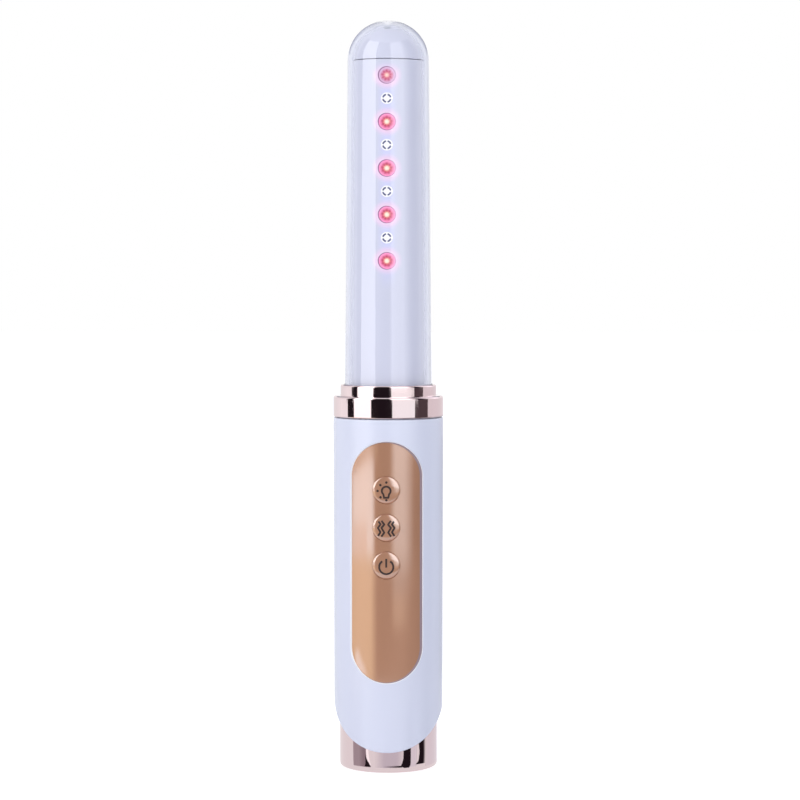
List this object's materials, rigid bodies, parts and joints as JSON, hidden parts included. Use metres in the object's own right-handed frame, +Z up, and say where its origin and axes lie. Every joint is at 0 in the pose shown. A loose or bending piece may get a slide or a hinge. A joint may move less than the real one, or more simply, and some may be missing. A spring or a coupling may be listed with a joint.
{
  "type": "light and vibration care wand",
  "caption": "Free-standing care wand: clear domed probe over a lamp core, stepped plated collar, white handle with a button panel, plated base cap.",
  "frame": {"origin": "centre of the base cap's flat underside, on the wand's axis", "axes": "+Z up along the wand's axis from the base to the probe's dome; the control panel and the lamps face -Y; +X is to the viewer's right"},
  "size_m": [0.0354, 0.0354, 0.24],
  "materials": {
    "clear_plastic": "polished clear polycarbonate",
    "core_white": "smooth white",
    "white_plastic": "glossy cool white",
    "rose_plating": "mirror rose-gold plating on plastic",
    "satin_rose_gold": "satin rose-gold plating on plastic",
    "silicone": "matte grey",
    "frame_plastic": "matte black",
    "red_lens": "lit red lens",
    "blue_lens": "lit blue lens",
    "circuit_board": "green circuit board",
    "chip_black": "moulded chip",
    "steel": "plain steel",
    "brass": "turned brass",
    "contact_gold": "gold-plated contact",
    "cell_wrap": "shrink wrap",
    "ribbon_amber": "flat cable film",
    "red_wire": "wire insulation",
    "black_wire": "wire insulation"
  },
  "bodies": {
    "wand": {"probe_sleeve": "clear_plastic", "probe_core": "core_white", "core_tip": "core_white", "led_board": "circuit_board", "motor_can": "steel", "motor_cradle": "frame_plastic", "neck_seal": "silicone", "collar": "rose_plating", "handle_shell": "white_plastic", "control_panel": "satin_rose_gold", "light_switch": "steel", "vibration_switch": "steel", "power_switch": "steel", "button_guide": "frame_plastic", "main_board": "circuit_board", "control_chip": "chip_black", "inner_chassis": "frame_plastic", "board_screw_upper": "steel", "board_screw_lower": "steel", "battery_cell": "cell_wrap", "base_cap": "rose_plating", "base_seal": "silicone", "contact_pad_left": "contact_gold", "contact_pad_right": "contact_gold", "contact_board": "circuit_board", "contact_magnet_front": "steel", "contact_magnet_rear": "steel", "led_ribbon": "ribbon_amber", "red_led_1": "red_lens", "red_led_2": "red_lens", "red_led_3": "red_lens", "red_led_4": "red_lens", "red_led_5": "red_lens", "blue_led_1": "blue_lens", "blue_led_2": "blue_lens", "blue_led_3": "blue_lens", "blue_led_4": "blue_lens", "motor_lead_red": "red_wire", "motor_lead_black": "black_wire", "cell_lead_red": "red_wire", "cell_lead_black": "black_wire", "charge_lead_red": "red_wire", "charge_lead_black": "black_wire"},
    "light_button_body": {"light_button": "satin_rose_gold", "light_plunger": "frame_plastic"},
    "vibration_button_body": {"vibration_button": "satin_rose_gold", "vibration_plunger": "frame_plastic"},
    "power_button_body": {"power_button": "satin_rose_gold", "power_plunger": "frame_plastic"},
    "motor_rotor": {"motor_shaft": "steel", "eccentric_weight": "brass"}
  },
  "joints": [
    {"name": "light_press", "type": "slide", "parent": "wand", "child": "light_button_body", "axis": [0, 1, 0], "range_m": [0, 0.0004], "stiffness_N_per_m": 1500},
    {"name": "vibration_press", "type": "slide", "parent": "wand", "child": "vibration_button_body", "axis": [0, 1, 0], "range_m": [0, 0.0004], "stiffness_N_per_m": 1500},
    {"name": "power_press", "type": "slide", "parent": "wand", "child": "power_button_body", "axis": [0, 1, 0], "range_m": [0, 0.0004], "stiffness_N_per_m": 1500},
    {"name": "rotor_spin", "type": "hinge", "parent": "wand", "child": "motor_rotor", "pos_m": [0, 0, 0.14], "axis": [0, 0, 1], "continuous": true}
  ]
}
